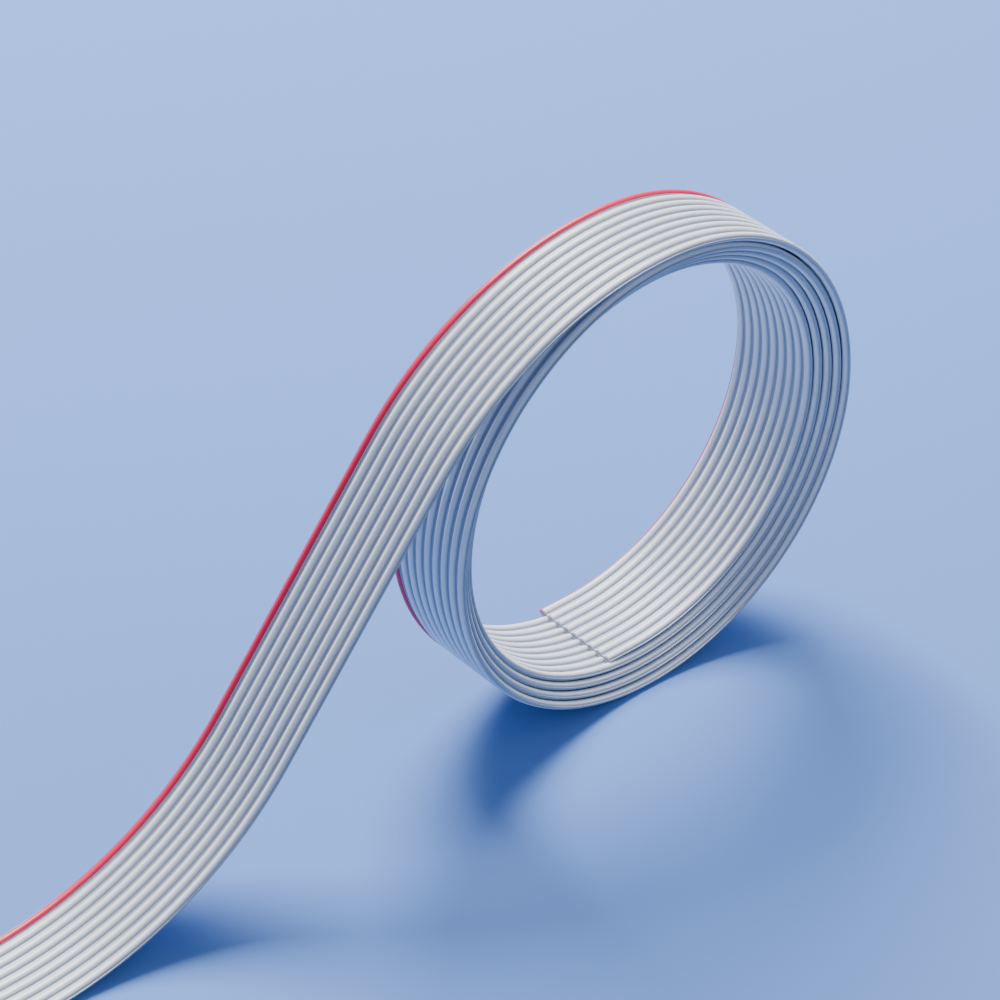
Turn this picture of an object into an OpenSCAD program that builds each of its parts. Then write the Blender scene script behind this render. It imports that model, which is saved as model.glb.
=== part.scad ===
/* [Ribbon] */
// Number of conductors, each one a ridge of the ribbon
conductor_count = 9; // [5:1:12]
// Distance between the middles of neighbouring conductors
pitch = 1.27; // [1.1:0.01:1.5]
// Thickness of the jacket over a ridge
ridge_d = 0.9; // [0.8:0.01:1]
// Thickness of the web between two ridges
web_t = 0.2; // [0.1:0.01:0.3]
// Web left standing past the outer ridges where the ribbon was slit
slit_edge = 0.12; // [0.05:0.01:0.3]

/* [Conductors] */
// Diameter of a stranded copper conductor
core_d = 0.38; // [0.25:0.01:0.45]
// Space between a conductor and its bore in the jacket
core_gap = 0.01; // [0.005:0.001:0.02]
// How deep a conductor and its bore are modelled at each cut end of the closed jacket
core_depth = 2.5; // [1:0.5:3]

/* [Marker stripe] */
// Depth of the coloured skin let into the first ridge
stripe_t = 0.06; // [0.03:0.01:0.1]
// Where the stripe ends on the outer face, in degrees past the ridge's outer side
stripe_over = 110; // [60:5:120]
// Where it ends on the inner face, in degrees past the same side
stripe_under = 60; // [30:5:80]

/* [Coil] */
// Bend radius of the innermost turn, at the middle of the ribbon
inner_r = 23.7; // [18:0.1:40]
// Number of whole turns in the coil
coil_turns = 4; // [2:1:5]
// Clearance between the ridges of two turns bedded in each other
bed_gap = 0.15; // [0.05:0.05:0.6]
// Straight length at the inner end, inside the coil's foot
lead_len = 3.5; // [3.5:0.5:10]

/* [Tail] */
// How much wider the tail's first bend is than the turn it leaves
leave_spread = 0.9; // [0.2:0.1:10]
// How much wider the bend over the top is than the tail's first bend
fall_spread = 9; // [2:1:30]
// Radius of the bend that lays the tail down
land_r = 38; // [20:1:45]
// Length that lies flat on the table
flat_len = 16; // [8:1:60]

/* [Hidden] */
// Facets of a bend and of the small circles of the section
bend_fn = 72;
ridge_fn = 32;
core_fn = 16;
stripe_steps = 8;
bore_d = core_d + 2 * core_gap;
skin_d = ridge_d - 2 * stripe_t;
half_span = (conductor_count - 1) * pitch / 2;
half_width = half_span + ridge_d / 2 + slit_edge;
// Lengths are kept to whole microns, so that neighbouring stretches meet exactly
function micron(v) = round(v * 1000) / 1000;

// The coil is a chain of half turns. The upper ones share an axis, and so do the lower ones. Each half turn lies a
// quarter pitch beside the one before, so that a turn's ridges bed in the grooves of the turn below.
side_step = pitch / 4;
bedded_step = sqrt(max(0, pow(ridge_d, 2) - pow(2 * side_step, 2)));
axis_step = micron((max(bedded_step, (ridge_d + web_t) / 2) + bed_gap) / 2);
last = 2 * coil_turns;
// Radius and sideways place of a half turn. Even ones are the upper ones, and the last one begins the tail.
function layer(k) = [inner_r + (k + 1) * axis_step, (k + 1) * side_step];
uppers = [for (k = [0 : 2 : last - 2]) layer(k)];
lowers = [for (k = [1 : 2 : last - 1]) layer(k)];
tail_side = layer(last)[1];

// The tail's slope falls as a 3-4-5 triangle
slope_out = [-4 / 5, 3 / 5];
slope_down = [-3 / 5, -4 / 5];
slope_angle = atan2(slope_out[1], slope_out[0]);
leave_r = layer(last)[0] + leave_spread;
fall_r = leave_r + fall_spread;
// The slope is as long as it takes to come down to the level of the coil's foot
foot_z = -layer(last - 1)[0];
slope_drop = -fall_spread + fall_r * slope_out[1] - foot_z - land_r * (1 - slope_out[1]);
slope_len = micron(slope_drop / -slope_down[1]);
leave_centre = [-leave_spread, 0];
fall_centre = leave_centre - [0, fall_spread];
slope_foot = fall_centre + fall_r * slope_out + slope_len * slope_down;
land_centre = slope_foot + land_r * slope_out;
flat_end = land_centre - [flat_len, land_r];

// The ribbon's reach to either side of the coil's centre
reach_right = leave_r - leave_spread + ridge_d / 2;
reach_left = flat_end[0];

module ridge_places() for (i = [0 : conductor_count - 1]) translate([0, i * pitch - half_span]) children();

// The ribbon's section, with the outward side of the coil toward +X and the striped edge toward -Y
module stripe_sector() {
    from = -90 - stripe_under;
    sweep = stripe_under + stripe_over;
    turn = [for (i = [0 : stripe_steps]) from + sweep * i / stripe_steps];
    rim = [for (a = turn) ridge_d * [cos(a), sin(a)]];
    polygon(concat([[0, 0]], rim));
}
module stripe_zone() translate([0, -half_span]) difference() {
    stripe_sector();
    circle(d = skin_d, $fn = ridge_fn);
}
module outline() {
    ridge_places() circle(d = ridge_d, $fn = ridge_fn);
    square([web_t, 2 * half_width], center = true);
}
module stripe_section() intersection() {
    outline();
    stripe_zone();
}
module jacket_section() difference() {
    outline();
    stripe_zone();
}
module bored_section() difference() {
    jacket_section();
    ridge_places() circle(d = bore_d, $fn = core_fn);
}
module core_section(i) translate([0, (i - 1) * pitch - half_span]) circle(d = core_d, $fn = core_fn);

// Stretches of the ribbon, each swept round an axis at its centre from one angle to another
module bend(centre, places, from, to)
    translate([centre[0], centre[1], 0]) rotate_extrude(start = from, angle = to - from, $fn = bend_fn)
        for (p = places) translate(p) children();
module tail_bend(centre, r, from, to) bend(centre, [[r, tail_side]], from, to) children();
module straight(end, side, angle, length)
    translate([end[0], end[1], side]) rotate([90, 0, angle]) linear_extrude(length) children();
// The part of a bend on the near side of a line from its centre at an angle
module up_to(centre, r, angle) intersection() {
    children();
    translate([centre[0], centre[1], tail_side]) rotate([0, 0, angle])
        translate([0, -2 * r, -2 * half_width]) cube([2 * r, 2 * r, 4 * half_width]);
}
module coil() {
    bend([0, 0], uppers, 0, 180) children();
    bend([axis_step, 0], lowers, 180, 360) children();
    bend([axis_step, 0], [layer(-1)], 270, 360) children();
    straight([axis_step, -inner_r], 0, 270, lead_len - core_depth) children();
}
module tail() {
    tail_bend(leave_centre, leave_r, 0, 90) children();
    up_to(fall_centre, fall_r, slope_angle) tail_bend(fall_centre, fall_r, 90, 180) children();
    straight(slope_foot, tail_side, slope_angle, slope_len) children();
    up_to(land_centre, land_r, slope_angle - 180)
        tail_bend(land_centre, land_r, 270, 360) mirror([1, 0]) children();
    straight(flat_end + [core_depth, 0], tail_side, 90, flat_len - core_depth) children();
}

// The route stands on the table, with the middle of its box over the origin
module standing()
    translate([-(reach_left + reach_right) / 2, tail_side / 2, ridge_d / 2 - foot_z])
        rotate([90, 0, 0]) children();
// A section swept along the route between the lengths at the two cut ends
module ribbon() standing() {
    coil() children();
    tail() children();
}
// A section along the last of the ribbon at each cut end
module cut_ends() standing() {
    straight(flat_end, tail_side, 90, core_depth) children();
    straight([axis_step + core_depth - lead_len, -inner_r], 0, 270, core_depth) children();
}

module insulation() color("gainsboro") {
    ribbon() jacket_section();
    cut_ends() bored_section();
}
module marker_stripe() color("crimson") {
    ribbon() stripe_section();
    cut_ends() stripe_section();
}
module conductor(i) color("silver") cut_ends() core_section(i);

insulation();
marker_stripe();
for (i = [1 : conductor_count]) conductor(i);
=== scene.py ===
"""A coil of flat ribbon cable, dressed over its frame."""

import logging
import math
from dataclasses import dataclass, field
from enum import Enum

import bmesh
import bpy
from mathutils import Matrix, Vector


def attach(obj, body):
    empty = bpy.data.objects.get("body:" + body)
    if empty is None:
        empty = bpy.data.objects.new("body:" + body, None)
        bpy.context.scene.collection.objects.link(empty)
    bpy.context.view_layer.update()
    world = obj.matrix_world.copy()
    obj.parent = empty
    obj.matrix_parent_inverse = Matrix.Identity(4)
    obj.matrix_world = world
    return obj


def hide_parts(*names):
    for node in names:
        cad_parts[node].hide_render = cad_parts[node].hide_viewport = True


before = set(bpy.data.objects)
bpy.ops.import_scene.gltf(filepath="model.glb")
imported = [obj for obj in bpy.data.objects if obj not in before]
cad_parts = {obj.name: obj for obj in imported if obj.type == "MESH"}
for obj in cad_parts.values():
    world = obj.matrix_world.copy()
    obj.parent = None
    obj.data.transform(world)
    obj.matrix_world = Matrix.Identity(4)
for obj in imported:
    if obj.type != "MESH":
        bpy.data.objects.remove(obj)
log = logging.getLogger("ribbon_cable")
MM = 0.001
BODY = "root"
# The attribute that holds each point's way along the ribbon, across it and out of it, in metres
PLACE = "ribbon"
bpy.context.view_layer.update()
Range = tuple[float, float]
Outline = list[tuple[float, float]]
Triple = tuple[float, float, float]
Tint = tuple[float, float, float, float]
Socket = bpy.types.NodeSocket
# What goes into an input: a socket to link, or a plain value
Feed = Socket | float | tuple[float, ...]


class Half(Enum):
    """Whether a half turn of the coil goes over its top or under its foot."""

    UPPER = 0
    LOWER = 1


@dataclass
class Ring:
    """One place along the ribbon, with its outward and crosswise directions and the length up to it."""

    at: Vector
    out: Vector
    across: Vector
    run: float

    def frame(self) -> Matrix:
        """Places a section's own axes: outward, across, and back along the ribbon.

        Returns:
            The matrix that takes those axes to this ring.
        """
        back = self.out.cross(self.across)
        turn = Matrix((self.out, self.across, back)).transposed().to_4x4()
        return Matrix.Translation(self.at) @ turn

    def point(self, outward: float, sideways: float, back: float = 0.0) -> Vector:
        """A point given in the section's own axes, in millimetres."""
        return self.frame() @ (Vector((outward, sideways, back)) * MM)


@dataclass
class Route:
    """The line that the middle of the ribbon follows, in millimetres, as the part's source lays it."""

    pitch: float = 1.27
    ridge_d: float = 0.9
    inner_r: float = 23.7
    turns: int = 4
    bed_gap: float = 0.15
    lead_len: float = 3.5
    leave_spread: float = 0.9
    fall_spread: float = 9.0
    land_r: float = 38.0
    flat_len: float = 16.0
    # The sides of the triangle that the tail's slope falls by
    triangle: tuple[int, int, int] = (3, 4, 5)
    degrees_a_ring: float = 3.0
    length_a_ring: float = 4.0
    rings: list[Ring] = field(default_factory=list)

    def __post_init__(self) -> None:
        """Works out the half turns' radii and places, and the tail's sizes."""
        self.drift = self.pitch / 4
        bedded = math.sqrt(self.ridge_d**2 - (2 * self.drift) ** 2)
        self.step = round((bedded + self.bed_gap) / 2, 3)
        self.halves = 2 * self.turns
        self.foot = -self.radius(self.halves - 1)
        self.leave_r = self.radius(self.halves) + self.leave_spread
        self.fall_r = self.leave_r + self.fall_spread
        self.tail_side = self.drift * (self.halves + 1)
        short, long, side = self.triangle
        self.slope = math.atan2(short, -long)
        out, down = Vector((-long / side, short / side)), Vector((-short / side, -long / side))
        drop = self.fall_r * out.y - self.fall_spread - self.foot - self.land_r * (1 - out.y)
        self.slope_len = -drop / down.y
        self.leave = Vector((-self.leave_spread, 0.0))
        self.fall = self.leave - Vector((0.0, self.fall_spread))
        self.slope_foot = self.fall + self.fall_r * out + self.slope_len * down
        self.land = self.slope_foot + self.land_r * out
        self.end = self.land - Vector((self.flat_len, self.land_r))
        right = self.radius(self.halves) + self.ridge_d / 2
        self.shift = Vector((-(self.end.x + right) / 2, self.tail_side / 2, self.ridge_d / 2 - self.foot))
        self.lay()

    def radius(self, half: int) -> float:
        """The radius of a half turn, counted from 0."""
        return self.inner_r + (half + 1) * self.step

    def ring(self, flat: Vector, side: float, angle: float, run: float) -> None:
        """Adds a ring.

        Args:
            flat: its place in the plane of the coil.
            side: its place across that plane.
            angle: the direction of the ribbon's outward side.
            run: the length of ribbon up to here.
        """
        at = Vector((flat.x, -side, flat.y)) + self.shift
        out = Vector((math.cos(angle), 0.0, math.sin(angle)))
        self.rings.append(Ring(at * MM, out, Vector((0.0, -1.0, 0.0)), run * MM))

    def bend(self, centre: Vector, r: float, turn: Range, sides: Range, back: bool = False) -> None:
        """Adds the rings of a bend, without its first one.

        Args:
            centre: its centre in the plane of the coil.
            r: its radius.
            turn: its first and last angles round the centre, in radians.
            sides: its first and last places across the plane.
            back: whether the ribbon's outward side faces the centre.
        """
        start, end = turn
        count = max(2, round(abs(math.degrees(end - start)) / self.degrees_a_ring))
        run = self.rings[-1].run / MM
        for i in range(1, count + 1):
            a = start + (end - start) * i / count
            flat = centre + r * Vector((math.cos(a), math.sin(a)))
            side = sides[0] + (sides[1] - sides[0]) * i / count
            self.ring(flat, side, a + math.pi if back else a, run + r * abs(a - start))

    def straight(self, end: Vector, side: float, angle: float, length: float) -> None:
        """Adds the rings of a straight stretch, without its first one.

        Args:
            end: where it stops in the plane of the coil.
            side: its place across that plane.
            angle: the direction of the ribbon's outward side.
            length: its length.
        """
        count = max(2, round(length / self.length_a_ring))
        run = self.rings[-1].run / MM
        along = Vector((-math.sin(angle), math.cos(angle)))
        for i in range(1, count + 1):
            self.ring(end - along * length * (1 - i / count), side, angle, run + length * i / count)

    def lay(self) -> None:
        """Lays the ribbon from its inner end, round the coil and down the tail."""
        half = math.pi / 2
        centres = {Half.UPPER: Vector((0.0, 0.0)), Half.LOWER: Vector((self.step, 0.0))}
        low = centres[Half.LOWER]
        bottom = low - Vector((0.0, self.inner_r))
        self.ring(bottom - Vector((self.lead_len, 0.0)), 0.0, -half, 0.0)
        self.straight(bottom, 0.0, -half, self.lead_len)
        side = self.drift / 2
        self.bend(low, self.inner_r, (-half, 0.0), (0.0, side))
        for k in range(self.halves):
            start = math.pi * (k % 2)
            sides = (side + k * self.drift, side + (k + 1) * self.drift)
            self.bend(centres[Half(k % 2)], self.radius(k), (start, start + math.pi), sides)
        side = self.tail_side
        self.bend(self.leave, self.leave_r, (0.0, half), (side - self.drift / 2, side))
        self.bend(self.fall, self.fall_r, (half, self.slope), (side, side))
        self.straight(self.slope_foot, side, self.slope, self.slope_len)
        self.bend(self.land, self.land_r, (self.slope - math.pi, -half), (side, side), back=True)
        self.straight(self.end, side, half, self.flat_len)


@dataclass
class Section:
    """The ribbon's outline, cut square across, in millimetres. Each point is (outward, across)."""

    count: int = 9
    pitch: float = 1.27
    ridge_r: float = 0.45
    half_web: float = 0.1
    slit_edge: float = 0.12
    skin: float = 0.06
    # How far the stripe goes round the first ridge on either face, in degrees, and stands over the jacket
    stripe_over: float = 150.0
    stripe_under: float = 60.0
    proud: float = 0.006
    steps: int = 7

    def __post_init__(self) -> None:
        """Works out where the ridges and the edge stand, and the angle at which a web leaves its ridge."""
        self.middles = [(i - (self.count - 1) / 2) * self.pitch for i in range(self.count)]
        self.foot = math.asin(self.half_web / self.ridge_r)
        self.edge = self.middles[-1] + self.ridge_r + self.slit_edge

    def arc(self, middle: float, r: float, start: float, end: float, face: int) -> Outline:
        """Points on a ridge's round side.

        Args:
            middle: where the ridge stands across the ribbon.
            r: the radius.
            start, end: angles from the side of the striped edge, in radians.
            face: 1 on the outward face and -1 on the inward one.

        Returns:
            The points in order.
        """
        turn = [start + (end - start) * i / self.steps for i in range(self.steps + 1)]
        return [(face * r * math.sin(a), middle - r * math.cos(a)) for a in turn]

    def jacket(self) -> Outline:
        """Draws the jacket, with the recess that the stripe fills.

        Returns:
            The points of its outline in order.
        """
        over, under = math.radians(self.stripe_over), math.radians(self.stripe_under)
        first, rest = self.middles[0], self.middles[1:]
        far = math.pi - self.foot
        points = self.arc(first, self.ridge_r, over, far, 1)
        for m in rest:
            points += self.arc(m, self.ridge_r, self.foot, far, 1)
        points += [(self.half_web, self.edge), (-self.half_web, self.edge)]
        for m in reversed(rest):
            points += self.arc(m, self.ridge_r, far, self.foot, -1)
        points += self.arc(first, self.ridge_r, far, under, -1)
        inner = self.ridge_r - self.skin
        points += self.arc(first, inner, under, 0.0, -1)
        points += self.arc(first, inner, 0.0, over, 1)[1:]
        return points

    def stripe(self) -> Outline:
        """Draws the stripe: a skin round the first ridge, with its slit edge.

        Returns:
            The points of its outline in order.
        """
        over, under = math.radians(self.stripe_over), math.radians(self.stripe_under)
        first = self.middles[0]
        r, inner = self.ridge_r + self.proud, self.ridge_r - self.skin
        points = self.arc(first, r, under, self.foot, -1)
        points += [(-self.half_web, -self.edge), (self.half_web, -self.edge)]
        points += self.arc(first, r, self.foot, over, 1)
        points += self.arc(first, inner, over, 0.0, 1)
        points += self.arc(first, inner, 0.0, under, -1)[1:]
        return points


def finish_mesh(name: str, bm: bmesh.types.BMesh, sharp: float) -> bpy.types.Object:
    """Makes a smooth-shaded object of a bmesh, and frees the bmesh.

    Args:
        name: the object's name.
        bm: the bmesh.
        sharp: the angle past which an edge stays crisp, in radians.

    Returns:
        The object, linked to the scene.
    """
    mesh = bpy.data.meshes.new(name)
    bm.to_mesh(mesh)
    bm.free()
    mesh.shade_smooth()
    mesh.set_sharp_from_angle(angle=sharp)
    piece = bpy.data.objects.new(name, mesh)
    bpy.context.scene.collection.objects.link(piece)
    return piece


def sweep(name: str, outline: Outline, rings: list[Ring], sharp: float) -> bpy.types.Object:
    """Extrudes an outline from ring to ring and closes both ends.

    Args:
        name: the piece's name.
        outline: the outline's points, as (outward, across) in millimetres.
        rings: the places along the route.
        sharp: the angle past which an edge stays crisp, in radians.

    Returns:
        The new piece, with the ribbon attribute on its points.
    """
    bm = bmesh.new()
    place = bm.verts.layers.float_vector.new(PLACE)
    verts = [bm.verts.new(rings[0].point(x, y)) for x, y in outline]
    for v, (x, y) in zip(verts, outline):
        v[place] = (rings[0].run, y * MM, x * MM)
    edges = [bm.edges.new((a, b)) for a, b in zip(verts, verts[1:] + verts[:1])]
    bmesh.ops.contextual_create(bm, geom=edges)
    for before, after in zip(rings, rings[1:]):
        grown = bmesh.ops.extrude_edge_only(bm, edges=edges)["geom"]
        verts = [g for g in grown if isinstance(g, bmesh.types.BMVert)]
        ends = set(verts)
        edges = [g for g in grown if isinstance(g, bmesh.types.BMEdge) and set(g.verts) <= ends]
        step = after.frame() @ before.frame().inverted()
        bmesh.ops.transform(bm, matrix=step, verts=verts)
        for v in verts:
            v[place] = (after.run, v[place][1], v[place][2])
    bmesh.ops.contextual_create(bm, geom=edges)
    bmesh.ops.recalc_face_normals(bm, faces=bm.faces)
    return finish_mesh(name, bm, sharp)


class SocketKind(Enum):
    """What a group's own socket carries."""

    COLOUR = "NodeSocketColor"
    NUMBER = "NodeSocketFloat"


@dataclass(frozen=True)
class Noise:
    """A noise: its scale along each axis, per metre, and its detail."""

    scale: Triple
    detail: float


class Nodes:
    """A small helper that adds and links shader nodes in one tree."""

    def __init__(self, tree: bpy.types.NodeTree) -> None:
        """Keeps the tree to add to."""
        self.tree = tree

    def add(self, kind: str, **values: object) -> bpy.types.Node:
        """Adds a node.

        Args:
            kind: its type.
            values: its properties.

        Returns:
            The node.
        """
        node = self.tree.nodes.new(kind)
        for key, value in values.items():
            setattr(node, key, value)
        return node

    def feed(self, source: Feed, target: Socket) -> None:
        """Feeds an input.

        Args:
            source: a socket to link to it, or a plain value that it is set to.
            target: the input.
        """
        if isinstance(source, Socket):
            self.tree.links.new(source, target)
        else:
            target.default_value = source

    def fill(self, node: bpy.types.Node, **sources: Feed) -> None:
        """Feeds a node's inputs.

        Args:
            node: the node.
            sources: what goes into each input, by its name with underscores for spaces.
        """
        for name, source in sources.items():
            self.feed(source, node.inputs[name.replace("_", " ")])

    def work_out(self, operation: str, *terms: Feed) -> Socket:
        """Works out a value.

        Args:
            operation: the kind of sum.
            terms: what goes into it, in order.

        Returns:
            The result.
        """
        node = self.add("ShaderNodeMath", operation=operation)
        for term, target in zip(terms, node.inputs):
            self.feed(term, target)
        return node.outputs["Value"]

    def mix(self, factor: Feed, first: Feed, second: Feed, blend: str = "MIX") -> Socket:
        """Mixes two colours.

        Args:
            factor: how much of the second there is.
            first, second: the colours.
            blend: the way they are mixed.

        Returns:
            The mixed colour.
        """
        node = self.add("ShaderNodeMix", data_type="RGBA", blend_type=blend)
        self.fill(node, Factor=factor, A=first, B=second)
        return node.outputs["Result"]

    def ramp(self, source: Socket, span: Range, to: Range) -> Socket:
        """Maps a value's range onto another.

        Args:
            source: the value.
            span: its range.
            to: the range that it is mapped to.

        Returns:
            The mapped value.
        """
        node = self.add("ShaderNodeMapRange")
        self.fill(node, Value=source, From_Min=span[0], From_Max=span[1], To_Min=to[0], To_Max=to[1])
        return node.outputs["Result"]

    def noise(self, place: Socket, noise: Noise) -> Socket:
        """Spreads a noise over a stretched place.

        Args:
            place: the place.
            noise: the noise, whose scale stretches the place.

        Returns:
            The noise's value.
        """
        stretch = self.add("ShaderNodeMapping")
        self.fill(stretch, Vector=place, Scale=noise.scale)
        texture = self.add("ShaderNodeTexNoise")
        self.fill(texture, Vector=stretch.outputs["Vector"], Scale=1.0, Detail=noise.detail)
        return texture.outputs["Fac"]


def bare_material(name: str) -> tuple[bpy.types.Material, Nodes, bpy.types.Node]:
    """Starts a material.

    Args:
        name: its name.

    Returns:
        The material, the helper for its nodes, and its shader.
    """
    made = bpy.data.materials.new(name)
    made.use_nodes = True
    return made, Nodes(made.node_tree), made.node_tree.nodes["Principled BSDF"]


@dataclass(frozen=True)
class DrawnSkin:
    """The skin of drawn soft vinyl: streaks along the ribbon, faint mottling, a fine grain and painted valley
    shade.
    """

    streaks: Noise = Noise((60.0, 9000.0, 9000.0), 3.0)
    mottling: Noise = Noise((160.0, 160.0, 160.0), 4.0)
    grain: Noise = Noise((9000.0, 9000.0, 9000.0), 2.0)
    # The part of the mottling that gathers dust, and of the streaks that roughen the skin, with what they add
    dusty: Range = (0.35, 0.7)
    streaky: Range = (0.3, 0.7)
    roughened: Range = (-0.05, 0.07)
    grain_share: float = 0.3
    # Painted shade in the valleys: the webs between ridges are darkened, fading from the web's face to a
    # ridge's top, in metres
    valley_shade_heights: Range = (0.0001, 0.00036)
    valley_shade_tint: Tint = (0.33, 0.37, 0.46, 1.0)

    def group(self) -> bpy.types.NodeTree:
        """Builds the group that each vinyl shares.

        Returns:
            A group that takes colours and amounts and gives a colour with painted valley shade, a roughness
            and a height.
        """
        tree = bpy.data.node_groups.new("drawn_skin", "ShaderNodeTree")
        colour, number = SocketKind.COLOUR, SocketKind.NUMBER
        takes = {"Colour": colour, "Dull Colour": colour, "Dust": number, "Gloss": number, "Web": number}
        gives = {"Colour": colour, "Roughness": number, "Height": number}
        for way, sockets in (("INPUT", takes), ("OUTPUT", gives)):
            for name, kind in sockets.items():
                tree.interface.new_socket(name=name, in_out=way, socket_type=kind.value)
        n = Nodes(tree)
        given, made = n.add("NodeGroupInput").outputs, n.add("NodeGroupOutput")
        place = n.add("ShaderNodeAttribute", attribute_name=PLACE).outputs["Vector"]
        spot = n.add("ShaderNodeTexCoord").outputs["Object"]
        dust = n.ramp(n.noise(spot, self.mottling), self.dusty, (0.0, 1.0))
        dusted = n.mix(n.work_out("MULTIPLY", dust, given["Dust"]), given["Colour"], given["Dull Colour"])
        streak = n.noise(place, self.streaks)
        uneven = n.ramp(streak, self.streaky, self.roughened)
        height = n.work_out("MULTIPLY_ADD", n.noise(spot, self.grain), self.grain_share, streak)
        n.fill(
            made,
            Colour=self.paint_valley_shade(n, place, dusted, given["Web"]),
            Roughness=n.work_out("ADD", given["Gloss"], uneven),
            Height=height,
        )
        return tree

    def paint_valley_shade(self, n: Nodes, place: Socket, colour: Socket, amount: Socket) -> Socket:
        """Paints shade into the valleys between ridges, on the thin webs.

        Args:
            n: the helper for the group's nodes.
            place: the ribbon attribute.
            colour: the vinyl's colour.
            amount: how strong the painted shade is.

        Returns:
            The colour with painted shade.
        """
        apart = n.add("ShaderNodeSeparateXYZ")
        n.fill(apart, Vector=place)
        # Painted shade: the lower the point toward the web, the more its colour is darkened toward the bluish
        # shade tint
        valley_shade = n.ramp(n.work_out("ABSOLUTE", apart.outputs["Z"]), self.valley_shade_heights, (1.0, 0.0))
        return n.mix(n.work_out("MULTIPLY", valley_shade, amount), colour, self.valley_shade_tint, "MULTIPLY")


@dataclass(frozen=True)
class Vinyl:
    """Soft drawn vinyl in one colour."""

    name: str
    colour: Triple
    dull: Triple
    gloss: float = 0.34
    shine: float = 0.45
    dust: float = 0.5
    # How strong the painted shade in the valleys between ridges is
    valley_shade: float = 0.85
    # How much light the vinyl lets in, and how far each of its colours goes, in metres
    glow: float = 0.08
    glow_reach: Triple = (0.0006, 0.0006, 0.0008)
    relief: float = 0.12
    relief_depth: float = 0.00003

    def material(self, skin: bpy.types.NodeTree) -> bpy.types.Material:
        """Builds the material round the shared skin.

        Args:
            skin: the drawn skin's group.

        Returns:
            The material.
        """
        made, n, shader = bare_material(self.name)
        group = n.add("ShaderNodeGroup", node_tree=skin)
        n.fill(
            group,
            Colour=(*self.colour, 1.0),
            Dull_Colour=(*self.dull, 1.0),
            Dust=self.dust,
            Gloss=self.gloss,
            Web=self.valley_shade,
        )
        bump = n.add("ShaderNodeBump")
        n.fill(bump, Height=group.outputs["Height"], Strength=self.relief, Distance=self.relief_depth)
        n.fill(
            shader,
            Base_Color=group.outputs["Colour"],
            Roughness=group.outputs["Roughness"],
            Normal=bump.outputs["Normal"],
            Subsurface_Weight=self.glow,
            Subsurface_Radius=self.glow_reach,
            Specular_IOR_Level=self.shine,
        )
        return made


@dataclass(frozen=True)
class TinnedCopper:
    """Bright tinned strands with the cutter's smear and a little copper showing."""

    smear_scale: float = 7000.0
    tin: Tint = (0.50, 0.48, 0.46, 1.0)
    copper: Tint = (0.55, 0.28, 0.16, 1.0)
    # The values of the smear between which copper shows, and how much of it does
    smeared: Range = (0.5, 0.7)
    shown: Range = (0.0, 0.7)
    # The values between which the smear roughens the metal, and its roughness there
    dragged: Range = (0.3, 0.7)
    roughness: Range = (0.22, 0.42)

    def material(self) -> bpy.types.Material:
        """Builds the material.

        Returns:
            The material.
        """
        made, n, shader = bare_material("tinned_copper")
        spot = n.add("ShaderNodeTexCoord").outputs["Object"]
        texture = n.add("ShaderNodeTexNoise")
        n.fill(texture, Vector=spot, Scale=self.smear_scale)
        smear = texture.outputs["Fac"]
        n.fill(
            shader,
            Base_Color=n.mix(n.ramp(smear, self.smeared, self.shown), self.tin, self.copper),
            Roughness=n.ramp(smear, self.dragged, self.roughness),
            Metallic=1.0,
        )
        return made


GREY_PVC = Vinyl("grey_pvc", (0.84, 0.85, 0.88), (0.77, 0.78, 0.82))
# The red stripe takes a weaker painted valley shade than the grey
RED_PVC = Vinyl("red_pvc", (0.78, 0.016, 0.085), (0.68, 0.014, 0.08), valley_shade=0.3)


@dataclass
class Ribbon:
    """The jacket and its stripe."""

    route: Route
    section: Section
    crisp: float = math.radians(38)

    def jacket(self, material: bpy.types.Material) -> bpy.types.Object:
        """Sweeps the grey jacket along the route."""
        piece = sweep("jacket", self.section.jacket(), self.route.rings, self.crisp)
        return dress(piece, material, "insulation")

    def stripe(self, material: bpy.types.Material) -> bpy.types.Object:
        """Sweeps the marker stripe along the route."""
        piece = sweep("stripe", self.section.stripe(), self.route.rings, self.crisp)
        return dress(piece, material, "marker_stripe")


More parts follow.
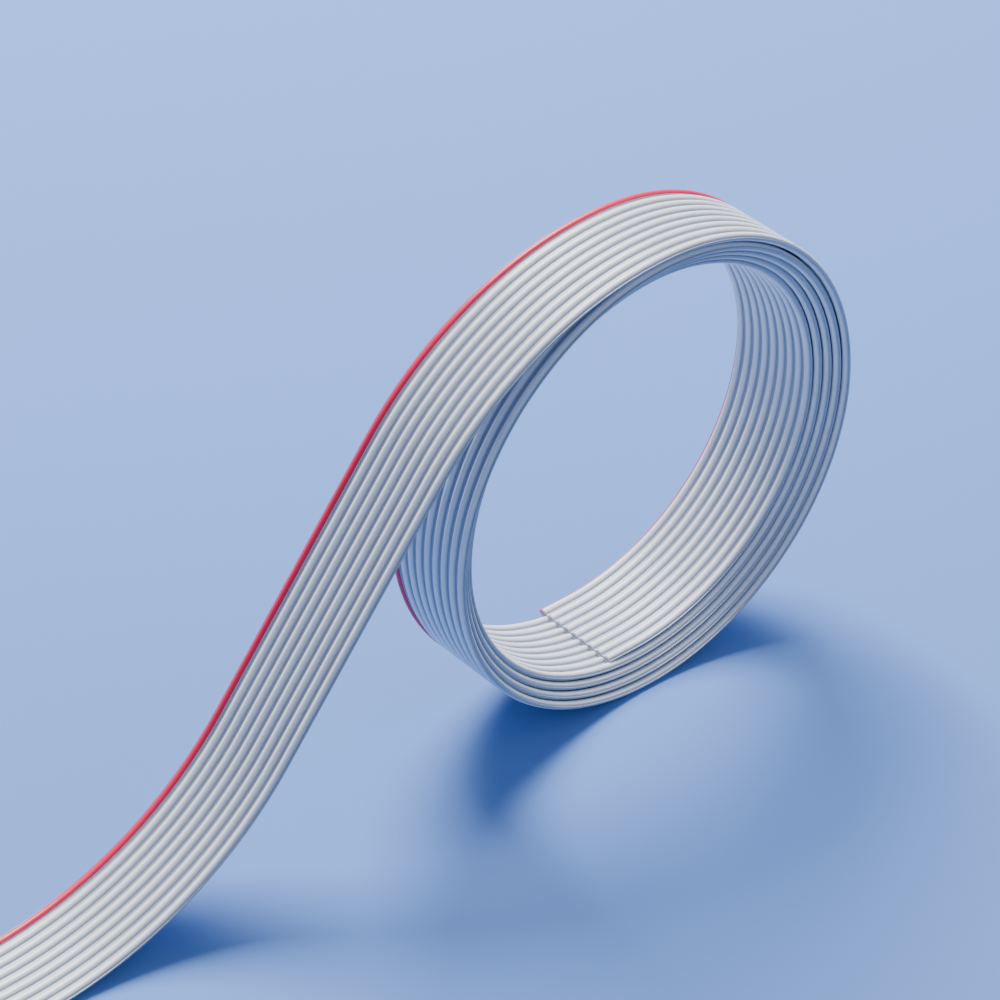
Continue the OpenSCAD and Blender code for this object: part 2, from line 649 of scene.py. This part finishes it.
@dataclass
class Strands:
    """The seven strands of each conductor, where the ribbon is cut."""

    route: Route
    section: Section
    strand_d: float = 0.124
    # Strands round the middle one
    bundle: int = 6
    depth: float = 0.6
    proud: float = 0.03
    sides: int = 16
    round_off: float = 0.02
    round_steps: int = 2
    crisp: float = math.radians(50)

    def strand(self, bm: bmesh.types.BMesh, ring: Ring, outward: float, across: float, way: int) -> None:
        """Adds one strand's end.

        Args:
            bm: the bmesh to add to.
            ring: the cut.
            outward, across: the strand's place in the cut.
            way: 1 at the ribbon's first end, where back leads out of the cut, and -1 at its last.
        """
        length = self.depth + self.proud
        r = self.strand_d / 2 * MM
        middle = ring.point(outward, across, way * (self.proud - length / 2))
        turn = ring.frame().to_3x3().to_4x4()
        made = bmesh.ops.create_cone(
            bm,
            cap_ends=True,
            segments=self.sides,
            radius1=r,
            radius2=r,
            depth=length * MM,
            matrix=Matrix.Translation(middle) @ turn,
        )
        around = {e for v in made["verts"] for e in v.link_edges}
        rims = [e for e in around if any(len(f.verts) == self.sides for f in e.link_faces)]
        bmesh.ops.bevel(
            bm,
            geom=rims,
            offset=self.round_off * MM,
            segments=self.round_steps,
            profile=0.5,
            affect="EDGES",
            material=-1,
        )

    def ends(self, index: int, material: bpy.types.Material) -> bpy.types.Object:
        """Makes both ends of one conductor.

        Args:
            index: the conductor, from 0 at the striped edge.
            material: its material.

        Returns:
            The piece, which stands for the conductor's solid.
        """
        bm = bmesh.new()
        middle = self.section.middles[index]
        for ring, way in ((self.route.rings[0], 1), (self.route.rings[-1], -1)):
            self.strand(bm, ring, 0.0, middle, way)
            for i in range(self.bundle):
                # Each bundle is turned a radian further than the one beside it
                a = math.tau * i / self.bundle + index
                outward, across = self.strand_d * math.cos(a), self.strand_d * math.sin(a)
                self.strand(bm, ring, outward, middle + across, way)
        piece = finish_mesh(f"strands_{index + 1}", bm, self.crisp)
        return dress(piece, material, f"conductor_{index + 1}")


def dress(piece: bpy.types.Object, material: bpy.types.Material, node: str) -> bpy.types.Object:
    """Gives a piece its look and its place in the part.

    Args:
        piece: the piece.
        material: its material.
        node: the solid that it stands for.

    Returns:
        The same piece.
    """
    piece.data.materials.append(material)
    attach(piece, BODY)
    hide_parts(node)
    log.info("made %s for %s", piece.name, node)
    return piece


@dataclass(frozen=True)
class Lamp:
    """A soft square lamp: its place and side in metres, its strength in watts and its colour."""

    name: str
    at: Triple
    size: float
    power: float
    colour: Triple


@dataclass
class Studio:
    """The camera at the photo's angle, the pale floor and the soft lights."""

    azimuth: float = math.radians(42.713)
    elevation: float = math.radians(36.484)
    roll: float = math.radians(2.508)
    distance: float = 403.85
    aim: Triple = (23.978, 6.682, 21.931)
    # The lens's focal length as a share of the sensor's width, which is in millimetres
    focal: float = 3.873
    sensor: float = 36.0
    near: float = 0.01
    floor_size: float = 3.0
    floor_tint: Tint = (0.14, 0.26, 0.60, 1.0)
    floor_rough: float = 0.9
    floor_shine: float = 0.1
    # A large lamp behind the coil and a weak fill in front
    lamps: tuple[Lamp, ...] = (
        Lamp("key", (0.22, 0.46, 0.66), 0.42, 20.0, (1.0, 0.985, 0.98)),
        Lamp("fill", (0.5, -0.6, 0.5), 0.8, 1.0, (0.80, 0.88, 1.0)),
    )
    sky_tint: Tint = (0.60, 0.74, 1.0, 1.0)
    sky_strength: float = 0.5

    def camera(self) -> None:
        """Places the camera and makes it the scene's."""
        a, e = self.azimuth, self.elevation
        ahead = Vector((math.sin(a) * math.cos(e), math.cos(a) * math.cos(e), -math.sin(e)))
        right = Vector((math.cos(a), -math.sin(a), 0.0))
        up = right.cross(ahead)
        turn = Matrix((right, up, -ahead)).transposed() @ Matrix.Rotation(self.roll, 3, "Z")
        data = bpy.data.cameras.new("camera")
        data.sensor_width = self.sensor
        data.lens = self.focal * self.sensor
        data.clip_start = self.near
        seen = bpy.data.objects.new("camera", data)
        bpy.context.scene.collection.objects.link(seen)
        at = Vector(self.aim) * MM - ahead * self.distance * MM
        seen.matrix_world = Matrix.Translation(at) @ turn.to_4x4()
        bpy.context.scene.camera = seen

    def floor(self) -> None:
        """Lays the plain pale floor."""
        bm = bmesh.new()
        bmesh.ops.create_grid(bm, x_segments=1, y_segments=1, size=self.floor_size / 2)
        ground = finish_mesh("floor", bm, math.pi)
        made, n, shader = bare_material("floor")
        n.fill(
            shader,
            Base_Color=self.floor_tint,
            Roughness=self.floor_rough,
            Specular_IOR_Level=self.floor_shine,
        )
        ground.data.materials.append(made)

    def lamp(self, lamp: Lamp) -> None:
        """Hangs a lamp that faces the part.

        Args:
            lamp: the lamp.
        """
        data = bpy.data.lights.new(lamp.name, "AREA")
        data.size, data.energy, data.color = lamp.size, lamp.power, lamp.colour
        hung = bpy.data.objects.new(lamp.name, data)
        hung.location = lamp.at
        hung.rotation_euler = (-Vector(lamp.at)).to_track_quat("-Z", "Y").to_euler()
        bpy.context.scene.collection.objects.link(hung)

    def light(self) -> None:
        """Hangs the lamps and sets a pale sky."""
        for lamp in self.lamps:
            self.lamp(lamp)
        world = bpy.data.worlds.new("studio")
        world.use_nodes = True
        sky = world.node_tree.nodes["Background"]
        Nodes(world.node_tree).fill(sky, Color=self.sky_tint, Strength=self.sky_strength)
        bpy.context.scene.world = world


def main() -> None:
    """Builds the studio and the ribbon."""
    logging.basicConfig(level=logging.INFO)
    studio = Studio()
    studio.camera()
    route, section = Route(), Section()
    skin = DrawnSkin().group()
    grey, red, tin = GREY_PVC.material(skin), RED_PVC.material(skin), TinnedCopper().material()
    ribbon = Ribbon(route, section)
    ribbon.jacket(grey)
    ribbon.stripe(red)
    strands = Strands(route, section)
    for i in range(section.count):
        strands.ends(i, tin)
    studio.floor()
    studio.light()


if __name__ == "__main__":
    main()
